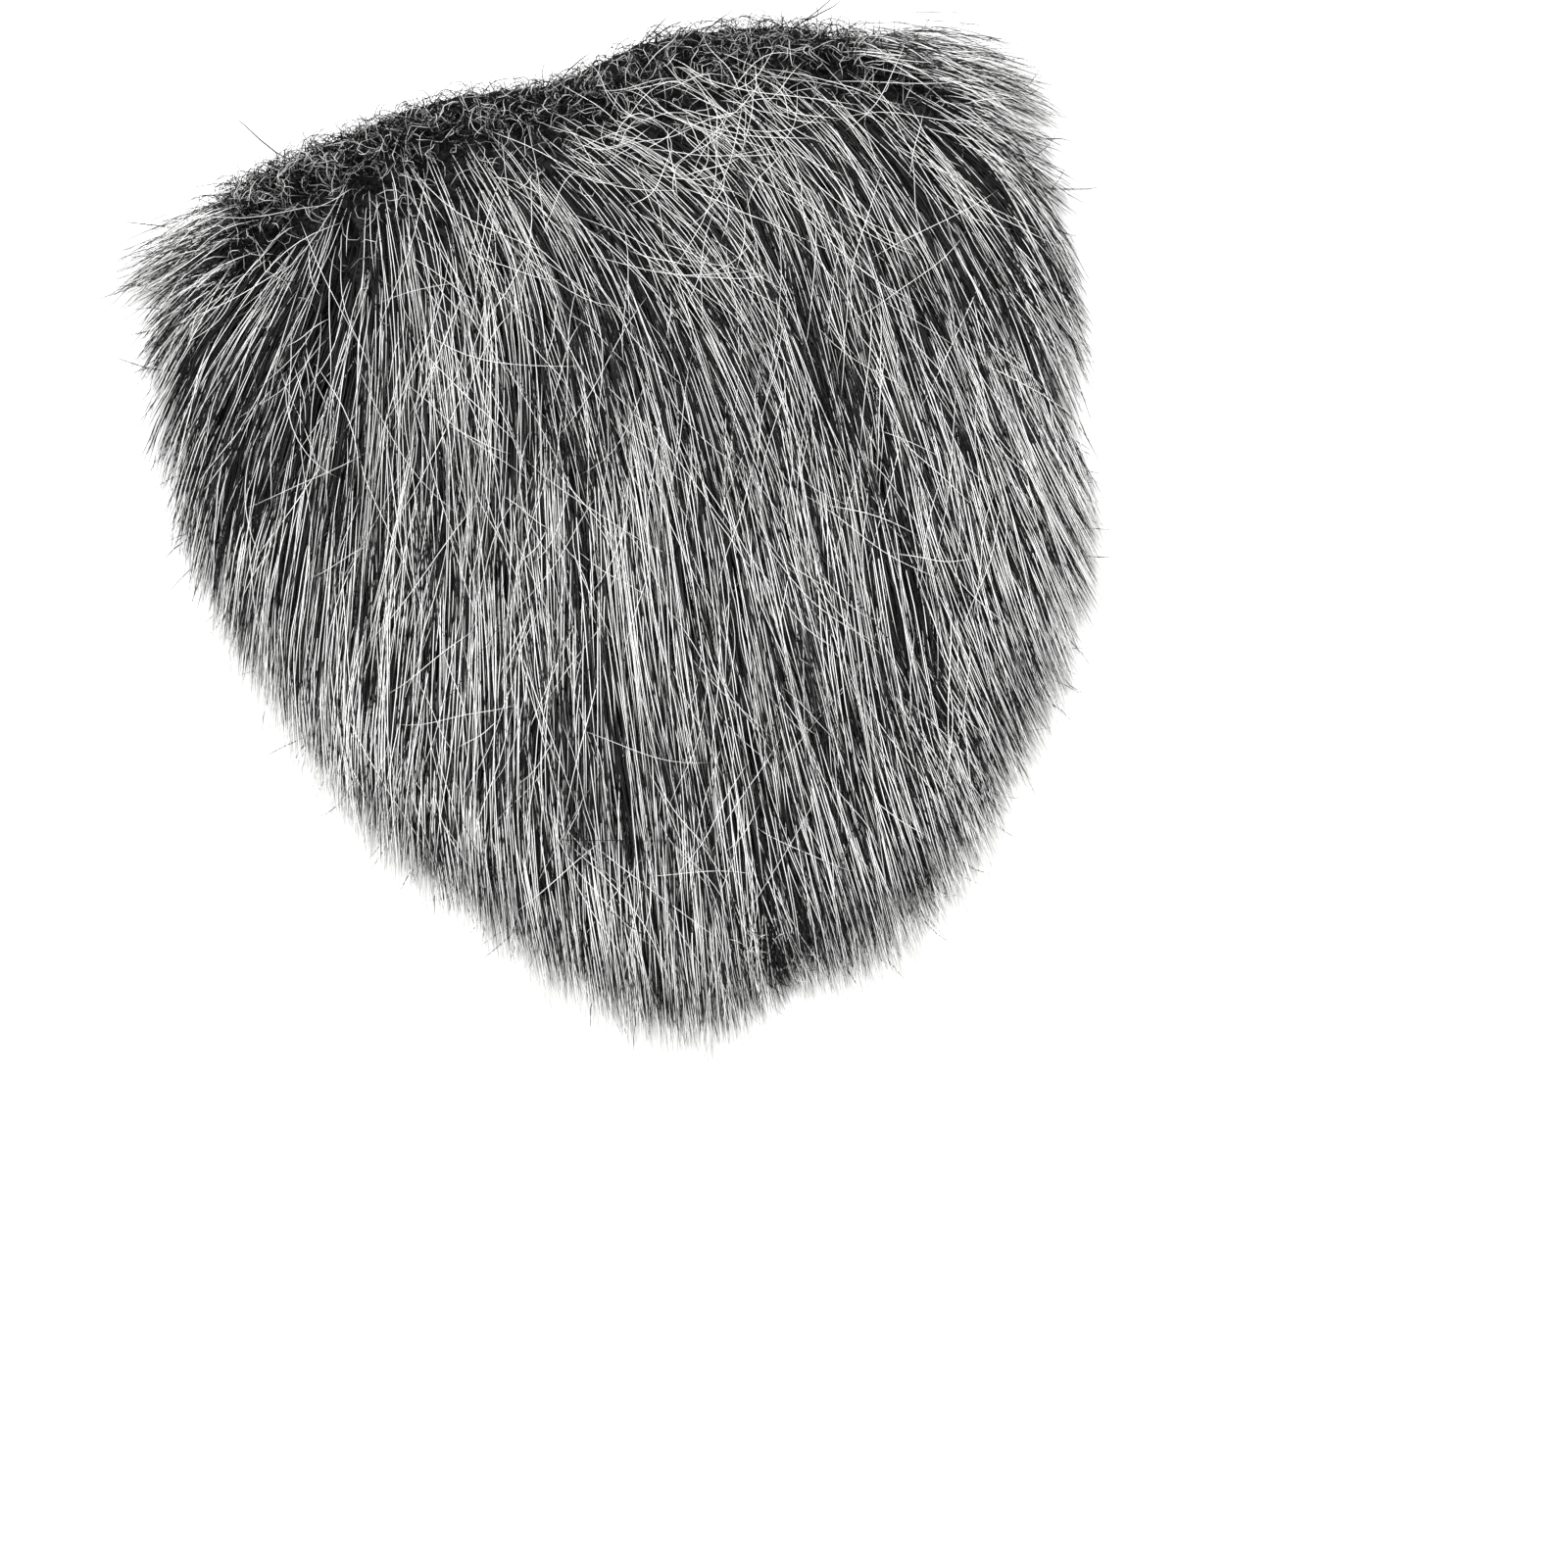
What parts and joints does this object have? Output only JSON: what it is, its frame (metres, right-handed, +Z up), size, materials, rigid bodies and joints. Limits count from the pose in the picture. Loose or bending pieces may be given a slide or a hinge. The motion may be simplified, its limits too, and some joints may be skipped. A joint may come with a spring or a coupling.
{
  "type": "fake beard",
  "caption": "Costume chin beard of long grey fur fabric, cut to a bib shape that is wide under the lip and rounded at the chin, lying hair side up.",
  "frame": {"origin": "middle of the footprint, on the surface that the backing lies on", "axes": "+Z up out of the hair, +Y towards the edge under the lower lip, +X to the right as seen from above"},
  "size_m": [0.1022, 0.1044, 0.0118],
  "materials": {
    "backing": "matte charcoal knitted ground cloth",
    "under_fur": "matte black and charcoal short curled pile",
    "long_hair": "grey mixture of near-white and black acrylic hair, soft sheen"
  },
  "bodies": {
    "root": {"backing": "backing", "under_fur": "under_fur", "long_hair": "long_hair"}
  },
  "joints": []
}
